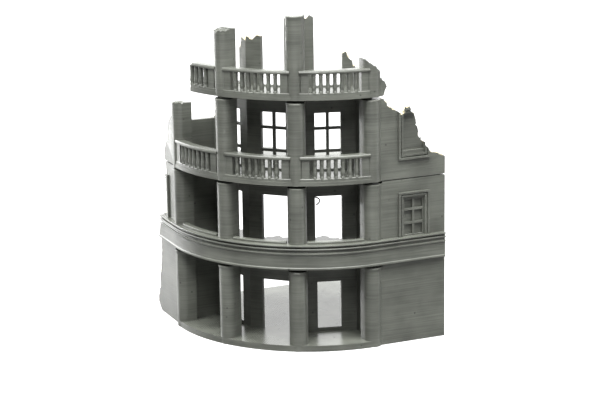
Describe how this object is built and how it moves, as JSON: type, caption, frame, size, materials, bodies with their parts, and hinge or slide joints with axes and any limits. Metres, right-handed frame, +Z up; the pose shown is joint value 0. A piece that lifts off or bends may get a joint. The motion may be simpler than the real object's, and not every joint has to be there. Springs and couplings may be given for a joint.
{
  "type": "miniature terrain ruin",
  "caption": "Ruined round corner building for tabletop battles, grey 3-D print, four storeys that stack and lift off, with loggia columns, balustrades and broken walls",
  "frame": {"origin": "centre of the quarter circle front, on the underside of the ground floor slab", "axes": "+Z up through the four storeys, -Y towards the middle of the round front, +X to the right seen from the front"},
  "size_m": [0.1265, 0.102, 0.1329],
  "materials": {
    "grey_print": "fused filament print in satin grey plastic, with fine level layer lines on the walls and a smoother sheen on level faces"
  },
  "bodies": {
    "ground_storey": {"ground_column_1": "grey_print", "ground_column_2": "grey_print", "ground_column_3": "grey_print", "ground_column_4": "grey_print", "ground_floor": "grey_print", "ground_inner_wall_left": "grey_print", "ground_inner_wall_middle": "grey_print", "ground_inner_wall_right": "grey_print", "ground_partition_left": "grey_print", "ground_partition_right": "grey_print", "ground_wall_left": "grey_print", "ground_wall_right": "grey_print"},
    "first_storey": {"first_bay_sills": "grey_print", "first_column_1": "grey_print", "first_column_2": "grey_print", "first_column_3": "grey_print", "first_column_4": "grey_print", "first_cornice": "grey_print", "first_floor": "grey_print", "first_glazing_right": "grey_print", "first_inner_wall_left": "grey_print", "first_inner_wall_middle": "grey_print", "first_inner_wall_right": "grey_print", "first_partition_left": "grey_print", "first_partition_right": "grey_print", "first_trim_left": "grey_print", "first_trim_right": "grey_print", "first_wall_left": "grey_print", "first_wall_right": "grey_print"},
    "second_storey": {"second_balustrade_left": "grey_print", "second_balustrade_middle": "grey_print", "second_balustrade_right": "grey_print", "second_column_1": "grey_print", "second_column_2": "grey_print", "second_column_3": "grey_print", "second_column_4": "grey_print", "second_floor": "grey_print", "second_inner_wall_left": "grey_print", "second_inner_wall_middle": "grey_print", "second_inner_wall_right": "grey_print", "second_partition_left": "grey_print", "second_partition_right": "grey_print", "second_trim_right": "grey_print", "second_wall_left": "grey_print", "second_wall_right": "grey_print"},
    "third_storey": {"third_balustrade_left": "grey_print", "third_balustrade_middle": "grey_print", "third_balustrade_right": "grey_print", "third_column_2": "grey_print", "third_column_3": "grey_print", "third_column_4": "grey_print", "third_floor": "grey_print", "third_inner_wall_left": "grey_print", "third_inner_wall_middle": "grey_print", "third_inner_wall_right": "grey_print", "third_partition_right": "grey_print", "third_wall_right": "grey_print"}
  },
  "joints": [
    {"name": "first_lift", "type": "slide", "parent": "ground_storey", "child": "first_storey", "axis": [0, 0, 1], "range_m": [0, 0.05]},
    {"name": "second_lift", "type": "slide", "parent": "first_storey", "child": "second_storey", "axis": [0, 0, 1], "range_m": [0, 0.05]},
    {"name": "third_lift", "type": "slide", "parent": "second_storey", "child": "third_storey", "axis": [0, 0, 1], "range_m": [0, 0.05]}
  ]
}
